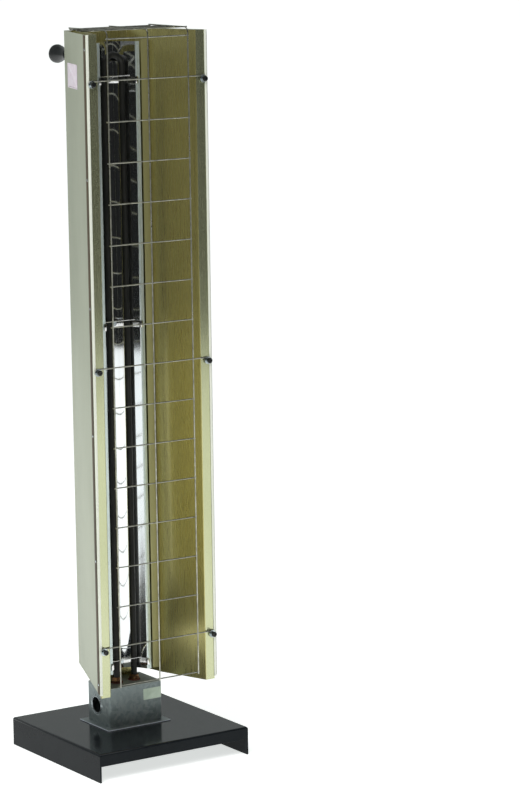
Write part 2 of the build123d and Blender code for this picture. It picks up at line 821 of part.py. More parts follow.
knob_spots = [(-knob_x, knob_z), (knob_x, knob_z)]
with BuildPart() as knob_washers:
    with BuildSketch(Plane.XZ.offset(-back_outer_y)):
        with Locations(*knob_spots):
            Circle(8.5)
            Circle(3.3, mode=Mode.SUBTRACT)
    extrude(amount=-(knob_start - back_outer_y - 0.1))
knob_washers.part.label = "knob_washers"
export_step(knob_washers.part, "parts/knob_washers.step")

with BuildPart() as knob_studs:
    with BuildSketch(Plane.XZ.offset(-knob_start - 17)):
        with Locations(*knob_spots):
            Circle(3.0)
    extrude(amount=29)
knob_studs.part.label = "knob_studs"
export_step(knob_studs.part, "parts/knob_studs.step")

with BuildPart() as knob_nuts:
    with BuildSketch(Plane.XZ.offset(-(lip_back_y - wing_sheet - 0.2))):
        with Locations(*knob_spots):
            RegularPolygon(5.6, 6)
            Circle(3.1, mode=Mode.SUBTRACT)
    extrude(amount=4.5)
knob_nuts.part.label = "knob_nuts"
export_step(knob_nuts.part, "parts/knob_nuts.step")

# ---------------------------------------------------------------- tip-over switch
switch_width = 24.0
switch_depth = 16.0
switch_bottom = 17.0
switch_cap_z = 40.0
cavity_floor = 19.0
leg_y = switch_y - switch_depth / 2
with BuildPart() as switch_bracket:
    with BuildSketch(Plane.YZ.offset(switch_x - switch_width / 2)):
        with BuildLine():
            FilletPolyline(
                (leg_y - 14, base_top_under - 1.6),
                (leg_y - 1.6, base_top_under - 1.6),
                (leg_y - 1.6, switch_bottom + 2),
                radius=1.0,
            )
            offset(amount=1.5, side=Side.LEFT)
        make_face()
    extrude(amount=switch_width)
    with BuildSketch(Plane.XZ.offset(-leg_y + 4)):
        with Locations((switch_x - 8.5, 30), (switch_x + 8.5, 30)):
            Circle(1.7)
    extrude(amount=-6, mode=Mode.SUBTRACT)
switch_bracket.part.label = "switch_bracket"
export_step(switch_bracket.part, "parts/switch_bracket.step")

with BuildPart() as switch_body:
    with BuildSketch(Plane.XY.offset(switch_bottom)):
        with Locations((switch_x, switch_y)):
            RectangleRounded(switch_width, switch_depth, 1.2)
    extrude(amount=switch_cap_z - switch_bottom)
    with BuildSketch(Plane.XY.offset(cavity_floor)):
        with Locations((switch_x, switch_y)):
            Circle(5.6)
    extrude(amount=30, mode=Mode.SUBTRACT)
    with BuildSketch(Plane.XY.offset(switch_bottom - 1)):
        with Locations((switch_x, switch_y)):
            Circle(plunger_radius + 0.06)
    extrude(amount=10, mode=Mode.SUBTRACT)
    with BuildSketch(Plane.XZ.offset(-leg_y + 1)):
        with Locations((switch_x - 8.5, 30), (switch_x + 8.5, 30)):
            Circle(1.6)
    extrude(amount=-switch_depth - 2, mode=Mode.SUBTRACT)
switch_body.part.label = "switch_body"
export_step(switch_body.part, "parts/switch_body.step")

with BuildPart() as switch_cap:
    with BuildSketch(Plane.XY.offset(switch_cap_z)):
        with Locations((switch_x, switch_y)):
            RectangleRounded(switch_width, switch_depth, 1.2)
    extrude(amount=4)
switch_cap.part.label = "switch_cap"
export_step(switch_cap.part, "parts/switch_cap.step")

with BuildPart() as switch_screws:
    for x in (switch_x - 8.5, switch_x + 8.5):
        with BuildSketch(Plane.XZ.offset(-leg_y - switch_depth)):
            with Locations((x, 30)):
                Circle(2.8)
        extrude(amount=-1.8)
        with BuildSketch(Plane.XZ.offset(-leg_y - switch_depth)):
            with Locations((x, 30)):
                Circle(1.5)
        extrude(amount=switch_depth + 5)
switch_screws.part.label = "switch_screws"
export_step(switch_screws.part, "parts/switch_screws.step")

collar_bottom = cavity_floor + switch_travel + 0.5
collar_top = collar_bottom + 3.0
with BuildPart() as switch_plunger:
    with BuildSketch(Plane.XZ.offset(-switch_y)):
        with BuildLine():
            Polyline(
                (switch_x, 0),
                (switch_x + 1.4, 0),
                (switch_x + plunger_radius, 1.6),
                (switch_x + plunger_radius, collar_bottom),
                (switch_x + 5.0, collar_bottom),
                (switch_x + 5.0, collar_top),
                (switch_x + 1.8, collar_top),
                (switch_x + 1.8, collar_top + 4),
                (switch_x, collar_top + 4),
                close=True,
            )
        make_face()
    revolve(axis=Axis((switch_x, switch_y, 0), (0, 0, 1)))
switch_plunger.part.label = "switch_plunger"
export_step(switch_plunger.part, "parts/switch_plunger.step")

spring_wire = 0.45
spring_radius = 3.6
spring_bottom = collar_top + spring_wire + 0.1
spring_height = switch_cap_z - spring_wire - 0.1 - spring_bottom
with BuildPart() as switch_spring:
    with BuildLine(Plane.XY.offset(spring_bottom)) as coil:
        with Locations((switch_x, switch_y)):
            Helix(pitch=spring_height / 4, height=spring_height, radius=spring_radius)
    with BuildSketch(Plane(origin=coil.line @ 0, z_dir=coil.line % 0)):
        Circle(spring_wire)
    sweep(is_frenet=True)
switch_spring.part.label = "switch_spring"
export_step(switch_spring.part, "parts/switch_spring.step")

# The switch's lead runs under the top plate and up through the box floor
lead_z = switch_cap_z + 2.0
with BuildPart() as switch_lead:
    with BuildLine():
        FilletPolyline(
            (switch_x - switch_width / 2, switch_y, lead_z),
            (64, switch_y - 2, lead_z),
            (28, 76, lead_z),
            (wire_hole[0] + 1, 46, lead_z),
            (wire_hole[0], wire_hole[1], lead_z),
            (wire_hole[0], wire_hole[1], inside_floor + 6),
            radius=[20, 20, 12, 4],
        )
    with BuildSketch(
        Plane(origin=(switch_x - switch_width / 2, switch_y, lead_z), z_dir=(-1, 0, 0))
    ):
        Circle(1.9)
    sweep()
switch_lead.part.label = "switch_lead"
export_step(switch_lead.part, "parts/switch_lead.step")

with BuildPart() as lead_grommet:
    for z, radius in ((base_top_under - 1.5, 6.5), (base_top_under, 4.5), (inside_floor, 6.5)):
        with BuildSketch(Plane.XY.offset(z)):
            with Locations(wire_hole):
                Circle(radius)
        extrude(amount=1.5 if radius > 5 else inside_floor - base_top_under)
    with BuildSketch(Plane.XY.offset(base_top_under - 3)):
        with Locations(wire_hole):
            Circle(3.0)
    extrude(amount=16, mode=Mode.SUBTRACT)
lead_grommet.part.label = "lead_grommet"
export_step(lead_grommet.part, "parts/lead_grommet.step")
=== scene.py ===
from math import cos, pi, radians, sin, tan

import bmesh
import bpy
from mathutils import Matrix, Vector


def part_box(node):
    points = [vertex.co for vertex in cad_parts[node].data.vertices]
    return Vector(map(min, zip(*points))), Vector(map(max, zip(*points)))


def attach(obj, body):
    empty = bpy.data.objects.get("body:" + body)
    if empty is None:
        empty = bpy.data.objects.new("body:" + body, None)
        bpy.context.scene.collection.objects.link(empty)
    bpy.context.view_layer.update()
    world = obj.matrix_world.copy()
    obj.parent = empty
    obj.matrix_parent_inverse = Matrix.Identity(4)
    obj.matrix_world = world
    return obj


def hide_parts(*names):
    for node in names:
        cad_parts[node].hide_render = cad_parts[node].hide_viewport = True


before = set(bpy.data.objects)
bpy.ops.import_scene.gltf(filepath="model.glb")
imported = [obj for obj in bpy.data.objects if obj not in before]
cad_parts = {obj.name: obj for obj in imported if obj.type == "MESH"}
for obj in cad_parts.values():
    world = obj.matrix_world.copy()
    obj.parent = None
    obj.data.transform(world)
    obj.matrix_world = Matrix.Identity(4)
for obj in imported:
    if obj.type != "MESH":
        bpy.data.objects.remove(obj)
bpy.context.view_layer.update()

MM = 0.001
# Millimetres: the wings' depth, their flare over it, their half width in front, the wires' pitch
WALL_RUN = 155.4
WALL_FLARE = 50.0
WALL_FRONT_X = 121.0
WIRE_PITCH = 69.85
KNOCKOUT_Y, KNOCKOUT_Z = 22.4, 85.7
BODY = "heater"


# ------------------------------------------------------------------ camera, floor and light
def add_camera():
    """A long lens to the heater's left front, looking slightly down."""
    view_azimuth = radians(-33.55)
    view_drop = radians(9.75)
    roll = radians(-0.77)
    camera_data = bpy.data.cameras.new("camera")
    camera_data.sensor_width = 36
    camera_data.lens = 142.05
    camera_data.shift_x = -0.0034
    camera_data.shift_y = 0.0031
    camera = bpy.data.objects.new("camera", camera_data)
    bpy.context.scene.collection.objects.link(camera)
    sight = Vector(
        (-sin(view_azimuth) * cos(view_drop), cos(view_azimuth) * cos(view_drop), -sin(view_drop))
    )
    turn = sight.to_track_quat("-Z", "Y").to_matrix().to_4x4() @ Matrix.Rotation(roll, 4, "Z")
    camera.matrix_world = Matrix.Translation((-2.8087, -4.6787, 1.5617)) @ turn
    bpy.context.scene.camera = camera


def area_light(name, spot, size, power, target=(0, 0, 0.6)):
    light_data = bpy.data.lights.new(name, "AREA")
    light_data.shape = "RECTANGLE"
    light_data.size, light_data.size_y = size
    light_data.energy = power
    light = bpy.data.objects.new(name, light_data)
    light.visible_glossy = False
    light.location = spot
    aim = Vector(target) - Vector(spot)
    light.rotation_mode = "QUATERNION"
    light.rotation_quaternion = aim.to_track_quat("-Z", "Y")
    bpy.context.scene.collection.objects.link(light)
    return light


def add_stage():
    """A pale floor, a dim room, and a dark and a pale card that only reflections see."""
    world = bpy.data.worlds.new("studio")
    world.use_nodes = True
    sky = world.node_tree.nodes["Background"]
    sky.inputs["Color"].default_value = (0.10, 0.105, 0.105, 1)
    sky.inputs["Strength"].default_value = 1.0
    bpy.context.scene.world = world

    floor_mesh = bmesh.new()
    bmesh.ops.create_grid(floor_mesh, x_segments=1, y_segments=1, size=90)
    floor = stage_piece(floor_mesh, "floor")
    floor_paint = bpy.data.materials.new("floor_paper")
    floor_paint.use_nodes = True
    paper = floor_paint.node_tree.nodes["Principled BSDF"]
    paper.inputs["Base Color"].default_value = (0.93, 0.94, 0.935, 1)
    paper.inputs["Roughness"].default_value = 0.9
    paper.inputs["Specular IOR Level"].default_value = 0.1
    paper.inputs["Emission Color"].default_value = (0.97, 1.0, 0.985, 1)
    paper.inputs["Emission Strength"].default_value = 0.68
    floor.data.materials.append(floor_paint)

    reflected_card("dark_card", -150, 0.004, 0.004)
    reflected_card("pale_card", 20, 0.1, 0.3)

    overhead_data = bpy.data.lights.new("overhead", "SUN")
    overhead_data.energy = 1.0
    overhead_data.angle = radians(70)
    overhead = bpy.data.objects.new("overhead", overhead_data)
    overhead.rotation_euler = (radians(18), radians(-12), 0)
    bpy.context.scene.collection.objects.link(overhead)
    area_light("key_light", (-1.9, -1.4, 2.5), (1.2, 1.2), 38)
    area_light("fill_light", (3.2, -2.4, 2.2), (1.6, 1.6), 12)


def reflected_card(name, start, shade, glow):
    """A tall card bent round the heater that only its reflections see."""
    mesh = bmesh.new()
    arc_start, arc_sweep, card_radius, card_height = radians(start), radians(140), 5.2, 7.0
    foot = bmesh.ops.create_vert(
        mesh, co=(card_radius * cos(arc_start), card_radius * sin(arc_start), 0.0)
    )["vert"]
    bmesh.ops.spin(mesh, geom=foot, cent=(0, 0, 0), axis=(0, 0, 1), angle=arc_sweep, steps=24)
    lifted = bmesh.ops.extrude_edge_only(mesh, edges=mesh.edges[:])
    upper = [v for v in lifted["geom"] if isinstance(v, bmesh.types.BMVert)]
    bmesh.ops.translate(mesh, verts=upper, vec=(0, 0, card_height))
    card = stage_piece(mesh, name)
    paint = bpy.data.materials.new(f"{name}_paper")
    paint.use_nodes = True
    felt = paint.node_tree.nodes["Principled BSDF"]
    felt.inputs["Base Color"].default_value = (shade, shade, shade, 1)
    felt.inputs["Emission Color"].default_value = (0.92, 1.0, 0.98, 1)
    felt.inputs["Emission Strength"].default_value = glow
    felt.inputs["Roughness"].default_value = 1.0
    card.data.materials.append(paint)
    card.visible_camera = False
    card.visible_diffuse = False
    card.visible_shadow = False


def stage_piece(bm, name):
    mesh = bpy.data.meshes.new(name)
    bm.to_mesh(mesh)
    bm.free()
    piece = bpy.data.objects.new(name, mesh)
    bpy.context.scene.collection.objects.link(piece)
    return piece


# ------------------------------------------------------------------ materials
def new_material(name, color, roughness, metallic=0.0, **sockets):
    """A Principled material; returns it with its node tree, shader and an Object-space vector."""
    material = bpy.data.materials.new(name)
    material.use_nodes = True
    tree = material.node_tree
    shader = tree.nodes["Principled BSDF"]
    shader.inputs["Base Color"].default_value = (*color, 1)
    shader.inputs["Roughness"].default_value = roughness
    shader.inputs["Metallic"].default_value = metallic
    for socket, value in sockets.items():
        shader.inputs[socket.replace("_", " ")].default_value = value
    place = tree.nodes.new("ShaderNodeTexCoord").outputs["Object"]
    return material, tree, shader, place


def stretched(tree, place, scale):
    """The object-space vector, scaled per axis."""
    mapping = tree.nodes.new("ShaderNodeMapping")
    mapping.inputs["Scale"].default_value = scale
    tree.links.new(place, mapping.inputs["Vector"])
    return mapping.outputs["Vector"]


def noise(tree, vector, scale, detail=3.0, roughness=0.55):
    node = tree.nodes.new("ShaderNodeTexNoise")
    node.inputs["Scale"].default_value = scale
    node.inputs["Detail"].default_value = detail
    node.inputs["Roughness"].default_value = roughness
    tree.links.new(vector, node.inputs["Vector"])
    return node.outputs["Fac"]


def ramp(tree, value, stops):
    """A colour ramp over value; stops are (position, colour or grey)."""
    node = tree.nodes.new("ShaderNodeValToRGB")
    node.color_ramp.elements[0].position = stops[0][0]
    node.color_ramp.elements[1].position = stops[-1][0]
    for position, _ in stops[1:-1]:
        node.color_ramp.elements.new(position)
    for element, (_, color) in zip(node.color_ramp.elements, stops):
        element.color = (*color, 1) if isinstance(color, tuple) else (color, color, color, 1)
    tree.links.new(value, node.inputs["Fac"])
    return node.outputs["Color"]


def bump(tree, shader, height, strength, distance):
    node = tree.nodes.new("ShaderNodeBump")
    node.inputs["Strength"].default_value = strength
    node.inputs["Distance"].default_value = distance
    tree.links.new(height, node.inputs["Height"])
    tree.links.new(node.outputs["Normal"], shader.inputs["Normal"])
    return node


def black_gloss_paint(name, ior):
    """Stoved black enamel: deep gloss, faint orange peel, dust in the low spots.

    A lower ior makes a coat that reflects less."""
    material, tree, shader, place = new_material(name, (0.010, 0.012, 0.014), 0.12, IOR=ior)
    peel = noise(tree, place, 260, 2)
    bump(tree, shader, peel, 0.12, 0.0004)
    dust = noise(tree, place, 14, 6, 0.65)
    tree.links.new(ramp(tree, dust, [(0.35, 0.10), (0.75, 0.24)]), shader.inputs["Roughness"])
    tint = ramp(tree, dust, [(0.3, (0.007, 0.009, 0.011)), (0.8, (0.014, 0.017, 0.019))])
    tree.links.new(tint, shader.inputs["Base Color"])
    return material


def galvanised(name, dark, light):
    """Zinc-coated sheet: grey spangle in irregular grains, dull and a little blotched."""
    material, tree, shader, place = new_material(name, light, 0.42, 0.7)
    grains = tree.nodes.new("ShaderNodeTexVoronoi")
    grains.inputs["Scale"].default_value = 170
    wobble = noise(tree, place, 60, 3)
    mix = tree.nodes.new("ShaderNodeVectorMath")
    mix.operation = "MULTIPLY_ADD"
    tree.links.new(wobble, mix.inputs[0])
    mix.inputs[1].default_value = (0.012, 0.012, 0.012)
    tree.links.new(place, mix.inputs[2])
    tree.links.new(mix.outputs["Vector"], grains.inputs["Vector"])
    spangle = ramp(tree, grains.outputs["Color"], [(0.1, dark), (0.9, light)])
    blotch = ramp(tree, noise(tree, place, 28, 5), [(0.3, 0.72), (0.7, 1.0)])
    multiply = tree.nodes.new("ShaderNodeMix")
    multiply.data_type = "RGBA"
    multiply.blend_type = "MULTIPLY"
    multiply.inputs[0].default_value = 1.0
    tree.links.new(spangle, multiply.inputs[6])
    tree.links.new(blotch, multiply.inputs[7])
    tree.links.new(multiply.outputs[2], shader.inputs["Base Color"])
    rough = ramp(tree, grains.outputs["Color"], [(0.0, 0.34), (1.0, 0.52)])
    tree.links.new(rough, shader.inputs["Roughness"])
    bump(tree, shader, wobble, 0.08, 0.0006)
    return material


def brushed_sheet(name, dark, light, roughness, metallic, grain_strength, wave_strength):
    """Anodised sheet brushed along its length: fine vertical grain over a slow waviness."""
    material, tree, shader, place = new_material(name, light, roughness, metallic)
    grain = noise(tree, stretched(tree, place, (1, 1, 0.012)), 1400, 2)
    clouds = noise(tree, stretched(tree, place, (1, 1, 0.35)), 9, 4)
    tone = tree.nodes.new("ShaderNodeMath")
    tone.operation = "MULTIPLY_ADD"
    tone.inputs[1].default_value = 0.35
    tree.links.new(grain, tone.inputs[0])
    tree.links.new(clouds, tone.inputs[2])
    tint = ramp(tree, tone.outputs[0], [(0.45, dark), (0.85, light)])
    tree.links.new(tint, shader.inputs["Base Color"])
    low, high = roughness * 0.85, roughness * 1.25
    tree.links.new(ramp(tree, grain, [(0.3, low), (0.7, high)]), shader.inputs["Roughness"])
    fine = bump(tree, shader, grain, grain_strength, 0.0002)
    slow = tree.nodes.new("ShaderNodeBump")
    slow.inputs["Strength"].default_value = wave_strength
    slow.inputs["Distance"].default_value = 0.004
    tree.links.new(noise(tree, stretched(tree, place, (1, 1, 0.4)), 7, 1), slow.inputs["Height"])
    tree.links.new(slow.outputs["Normal"], fine.inputs["Normal"])
    return material


def mirror_finish():
    """Polished reflector sheet with faint rolling lines and heat haze."""
    material, tree, shader, place = new_material("polished_reflector", (0.86, 0.88, 0.89), 0.06, 1.0)
    haze = noise(tree, stretched(tree, place, (1, 1, 0.15)), 12, 5)
    tree.links.new(ramp(tree, haze, [(0.35, 0.04), (0.8, 0.13)]), shader.inputs["Roughness"])
    lines = noise(tree, stretched(tree, place, (1, 1, 0.01)), 420, 2)
    bump(tree, shader, lines, 0.03, 0.0002)
    return material


def bright_steel(name, color, roughness, spots=0.0):
    material, tree, shader, place = new_material(name, color, roughness, 1.0)
    smut = noise(tree, place, 90, 4)
    dull = tuple(channel * (1 - 0.35 - spots) for channel in color)
    tree.links.new(ramp(tree, smut, [(0.3, dull), (0.62, color)]), shader.inputs["Base Color"])
    gloss = ramp(tree, smut, [(0.3, roughness * 1.6), (0.7, roughness)])
    tree.links.new(gloss, shader.inputs["Roughness"])
    bump(tree, shader, noise(tree, place, 900, 2), 0.05, 0.0002)
    return material


def black_oxide():
    """Heat-blackened sheath: matt black scale, greyer in worn streaks along the tube."""
    material, tree, shader, place = new_material("black_sheath", (0.012, 0.012, 0.012), 0.42, IOR=1.3)
    streaks = noise(tree, stretched(tree, place, (1, 1, 0.08)), 160, 4)
    scale = noise(tree, place, 700, 3)
    tree.links.new(
        ramp(tree, streaks, [(0.35, (0.006, 0.007, 0.006)), (0.75, (0.022, 0.022, 0.020))]),
        shader.inputs["Base Color"],
    )
    tree.links.new(ramp(tree, streaks, [(0.3, 0.5), (0.8, 0.3)]), shader.inputs["Roughness"])
    bump(tree, shader, scale, 0.25, 0.0002)
    return material


def warm_brass():
    material, tree, shader, place = new_material("old_brass", (0.5, 0.3, 0.12), 0.35, 1.0)
    tarnish = noise(tree, place, 120, 5)
    stops = [(0.35, (0.07, 0.04, 0.025)), (0.55, (0.22, 0.12, 0.06)), (0.8, (0.55, 0.34, 0.17))]
    tree.links.new(ramp(tree, tarnish, stops), shader.inputs["Base Color"])
    bump(tree, shader, tarnish, 0.1, 0.0003)
    return material


def moulded_plastic(name, color, roughness=0.32):
    material, tree, shader, place = new_material(name, color, roughness)
    skin = noise(tree, place, 500, 3)
    bump(tree, shader, skin, 0.1, 0.0002)
    tree.links.new(
        ramp(tree, noise(tree, place, 40, 3), [(0.3, roughness * 0.8), (0.8, roughness * 1.3)]),
        shader.inputs["Roughness"],
    )
    return material


def soft_rubber(name, color):
    material, tree, shader, place = new_material(name, color, 0.6)
    mottle = noise(tree, place, 300, 3)
    darker = tuple(channel * 0.6 for channel in color)
    tree.links.new(ramp(tree, mottle, [(0.3, darker), (0.7, color)]), shader.inputs["Base Color"])
    bump(tree, shader, mottle, 0.15, 0.0002)
    return material


def blank_label(name, color, blush):
    """A blank printed label: flat ink with a slight mottle."""
    material, tree, shader, place = new_material(name, color, 0.45)
    mottle = noise(tree, place, 110, 4)
    tree.links.new(ramp(tree, mottle, [(0.35, color), (0.75, blush)]), shader.inputs["Base Color"])
    bump(tree, shader, noise(tree, place, 600, 2), 0.08, 0.0001)
    return material


ENAMEL = black_gloss_paint("black_enamel", 1.42)
# Painted shade: a copy of the same enamel with a low ior, so the skirts and lip reflect less than the
# top, which has the same coat.
SHADED_SKIRT_ENAMEL = black_gloss_paint("black_enamel_painted_shade_on_skirts", 1.17)
ZINC_SHEET = galvanised("galvanised_sheet", (0.20, 0.24, 0.24), (0.32, 0.37, 0.37))
# Painted light: a paler copy of the galvanised sheet for the box's lid, standing in for the bright
# reflection on its top.
LIT_LID_SHEET = galvanised("galvanised_lid_painted_light", (0.34, 0.38, 0.35), (0.48, 0.53, 0.48))
PALE_SHEET = brushed_sheet(
    "pale_anodised_sheet", (0.42, 0.45, 0.345), (0.49, 0.52, 0.41), 0.45, 0.4, 0.2, 0.08
)
GOLD_SHEET = brushed_sheet(
    "gold_anodised_sheet", (0.45, 0.41, 0.165), (0.51, 0.465, 0.195), 0.27, 0.8, 0.03, 0.03
)
RAIL_SHEET = brushed_sheet(
    "gold_rail_sheet", (0.31, 0.29, 0.125), (0.36, 0.34, 0.155), 0.40, 0.5, 0.03, 0.03
)
# Painted shadow: gold darkened almost to black for the lapped lip, standing in for the shadow of the
# gap between skin and flange.
SHADED_GOLD_LIP = brushed_sheet(
    "gold_lip_painted_shadow", (0.055, 0.038, 0.022), (0.11, 0.078, 0.045), 0.6, 0.1, 0.1, 0.05
)
MIRROR = mirror_finish()
SATIN_RIM = brushed_sheet(
    "satin_rim", (0.56, 0.66, 0.64), (0.72, 0.80, 0.78), 0.26, 0.6, 0.03, 0.03
)
# Painted reflection: a paler, greener copy of the gold sheet for the wings' front flanges, which are
# the same sheet as the walls.
LIT_FLANGE_SHEET = brushed_sheet(
    "gold_flange_painted_reflection", (0.48, 0.50, 0.30), (0.55, 0.57, 0.36), 0.22, 0.85, 0.03, 0.03
)
# Painted highlight: a near-white copy of the pale skin for its narrow front return, which is the same
# sheet.
PAINTED_HIGHLIGHT_EDGE = brushed_sheet(
    "skin_edge_painted_highlight", (0.72, 0.74, 0.64), (0.82, 0.84, 0.74), 0.35, 0.1, 0.03, 0.03
)
# The foot plate's edges: bare sheared steel, made pale, bluish and mostly diffuse as a painted
# highlight.
BARE_EDGE_AND_HIGHLIGHT = bright_steel("bare_edge_painted_highlight", (0.72, 0.78, 0.86), 0.3)
BARE_EDGE_AND_HIGHLIGHT.node_tree.nodes["Principled BSDF"].inputs["Metallic"].default_value = 0.3
BRIGHT_WIRE = bright_steel("bright_wire", (0.50, 0.50, 0.44), 0.25, 0.1)
SPRING = bright_steel("bright_spring_steel", (0.80, 0.80, 0.79), 0.12)
ZINC = bright_steel("zinc_plate", (0.62, 0.68, 0.70), 0.2)
SHEATH = black_oxide()
BRASS = warm_brass()
BLACK_PLASTIC = moulded_plastic("black_phenolic", (0.006, 0.007, 0.007), 0.36)
RED_RUBBER = soft_rubber("red_silicone", (0.16, 0.05, 0.035))
GREY_RUBBER = soft_rubber("cream_sleeve", (0.6, 0.58, 0.5))
BLACK_RUBBER = soft_rubber("black_jacket", (0.02, 0.02, 0.02))
CERAMIC = moulded_plastic("white_ceramic", (0.8, 0.78, 0.72), 0.4)
GREEN = moulded_plastic("green_screw", (0.03, 0.25, 0.08), 0.35)
PLATE_LABEL = blank_label("blank_plate", (0.56, 0.68, 0.55), (0.67, 0.78, 0.65))
PAPER_LABEL = blank_label("blank_sticker", (0.80, 0.74, 0.80), (0.72, 0.60, 0.68))


# ------------------------------------------------------------------ mesh helpers
def span(node):
    """A CAD node's lowest and highest corner, in millimetres."""
    low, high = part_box(node)
    return Vector(low) / MM, Vector(high) / MM


def make_piece(bm, name, material, replaces=(), crease=35):
    """Turns a bmesh in millimetres into a shaded piece that stands for its CAD nodes."""
    bmesh.ops.scale(bm, verts=bm.verts[:], vec=(MM, MM, MM))
    mesh = bpy.data.meshes.new(name)
    bm.to_mesh(mesh)
    bm.free()
    mesh.materials.append(material)
    mesh.shade_smooth()
    mesh.set_sharp_from_angle(angle=radians(crease))
    piece = bpy.data.objects.new(name, mesh)
    bpy.context.scene.collection.objects.link(piece)
    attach(piece, BODY)
    if replaces:
        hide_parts(*replaces)
    return piece


def sharp_edges(bm, least=50):
    return [
        edge
        for edge in bm.edges
        if len(edge.link_faces) == 2 and edge.calc_face_angle(0) > radians(least)
    ]


def round_edges(bm, width, segments=2, least=50):
    bmesh.ops.bevel(
        bm, geom=sharp_edges(bm, least), offset=width, segments=segments, profile=0.5,
        affect="EDGES", material=-1, clamp_overlap=True,
    )


def folded_sheet(outline, radii, low, high, thickness, edge_width=None, foot_cut=None):
    """A sheet that follows outline in plan, rounded at its folds, between two heights.

    Its thickness grows to the right of the outline's direction."""
    bm = bmesh.new()
    foot = [bm.verts.new((x, y, low)) for x, y in outline]
    for pair in zip(foot, foot[1:]):
        bm.edges.new(pair)
    raised = bmesh.ops.extrude_edge_only(bm, edges=bm.edges[:])["geom"]
    top = [item for item in raised if isinstance(item, bmesh.types.BMVert)]
    bmesh.ops.translate(bm, verts=top, vec=(0, 0, high - low))
    for spot, radius in radii.items():
        x, y = outline[spot]
        before = Vector(outline[spot]) - Vector(outline[spot - 1])
        after = Vector(outline[spot + 1]) - Vector(outline[spot])
        fold = [
            edge
            for edge in bm.edges
            if all((v.co.xy - Vector((x, y))).length < 1e-3 for v in edge.verts)
        ]
        bmesh.ops.bevel(
            bm, geom=fold, offset=radius * tan(before.angle(after) / 2), segments=6,
            profile=0.5, affect="EDGES", material=-1,
        )
    if foot_cut:
        spot, normal = foot_cut
        everything = bm.verts[:] + bm.edges[:] + bm.faces[:]
        bmesh.ops.bisect_plane(
            bm, geom=everything, plane_co=spot, plane_no=normal, clear_inner=True, dist=1e-5
        )
    heading = (Vector(outline[1]) - Vector(outline[0])).to_3d()
    left = Vector((-heading.y, heading.x, 0))
    start = Vector(outline[0]).to_3d()
    bm.normal_update()
    first = min(bm.faces, key=lambda face: (face.calc_center_median().xy - start.xy).length)
    if first.normal.dot(left) < 0:
        bmesh.ops.reverse_faces(bm, faces=bm.faces[:])
    bm.normal_update()
    bmesh.ops.solidify(bm, geom=bm.faces[:], thickness=thickness)
    bmesh.ops.recalc_face_normals(bm, faces=bm.faces[:])
    if edge_width is None:
        edge_width = thickness * 0.3
    if edge_width:
        round_edges(bm, edge_width)
    return bm


def turned(profile, spot, axis, steps=32):
    """A lathe shape: profile is (radius, height) from one end to the other, about axis at spot."""
    bm = bmesh.new()
    line = [bm.verts.new((radius, 0, height)) for radius, height in profile]
    for pair in zip(line, line[1:]):
        bm.edges.new(pair)
    bmesh.ops.spin(
        bm, geom=bm.verts[:] + bm.edges[:], cent=(0, 0, 0), axis=(0, 0, 1), angle=2 * pi,
        steps=steps, use_merge=True,
    )
    bmesh.ops.remove_doubles(bm, verts=bm.verts[:], dist=1e-4)
    bmesh.ops.recalc_face_normals(bm, faces=bm.faces[:])
    turn = Vector(axis).to_track_quat("Z", "Y").to_matrix().to_4x4()
    bmesh.ops.transform(bm, matrix=Matrix.Translation(spot) @ turn, verts=bm.verts[:])
    return bm


def join_into(bm, other):
    """Moves everything in other into bm."""
    spare = bpy.data.meshes.new("spare")
    other.to_mesh(spare)
    other.free()
    bm.from_mesh(spare)
    bpy.data.meshes.remove(spare)


def merged_copy(node):
    """A cleaned copy of a CAD node's mesh: doubles merged, flat faces joined."""
    bm = bmesh.new()
    bm.from_mesh(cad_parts[node].data)
    bmesh.ops.scale(bm, verts=bm.verts[:], vec=(1 / MM, 1 / MM, 1 / MM))
    bmesh.ops.remove_doubles(bm, verts=bm.verts[:], dist=1e-3)
    bmesh.ops.dissolve_limit(
        bm, angle_limit=radians(1), verts=bm.verts[:], edges=bm.edges[:],
        use_dissolve_boundaries=False,
    )
    return bm


def tube_mesh(lines, radius, resolution=5):
    """Round wires along point lists, as one mesh; each end is capped."""
    curve = bpy.data.curves.new("wires", "CURVE")
    curve.dimensions = "3D"
    curve.bevel_depth = radius
    curve.bevel_resolution = resolution
    curve.use_fill_caps = True
    for line in lines:
        spline = curve.splines.new("POLY")
        spline.points.add(len(line) - 1)
        for point, spot in zip(spline.points, line):
            point.co = (*spot, 1)
    carrier = bpy.data.objects.new("wires", curve)
    bpy.context.scene.collection.objects.link(carrier)
    bpy.context.view_layer.update()
    mesh = bpy.data.meshes.new_from_object(carrier.evaluated_get(bpy.context.evaluated_depsgraph_get()))
    bm = bmesh.new()
    bm.from_mesh(mesh)
    bmesh.ops.remove_doubles(bm, verts=bm.verts[:], dist=1e-4)
    bmesh.ops.recalc_face_normals(bm, faces=bm.faces[:])
    bpy.data.objects.remove(carrier)
    bpy.data.curves.remove(curve)
    bpy.data.meshes.remove(mesh)
    return bm


def arc_points(centre, start, end, radius, steps, to_spot):
    """Points on an arc; to_spot turns the arc's (u, v) into a place."""
    angles = [start + (end - start) * step / steps for step in range(steps + 1)]
    return [to_spot(centre[0] + radius * cos(a), centre[1] + radius * sin(a)) for a in angles]



def block(low, high):
    """A box between two corners."""
    bm = bmesh.new()
    bmesh.ops.create_cube(bm, size=1)
    size = Vector(high) - Vector(low)
    middle = (Vector(high) + Vector(low)) / 2
    bmesh.ops.scale(bm, verts=bm.verts[:], vec=size)
    bmesh.ops.translate(bm, verts=bm.verts[:], vec=middle)
    return bm


def mirrored(bm, side):
    """bm as built for +X, or turned over for -X."""
    if side < 0:
        bmesh.ops.scale(bm, verts=bm.verts[:], vec=(-1, 1, 1))
        bmesh.ops.reverse_faces(bm, faces=bm.faces[:])
    return bm


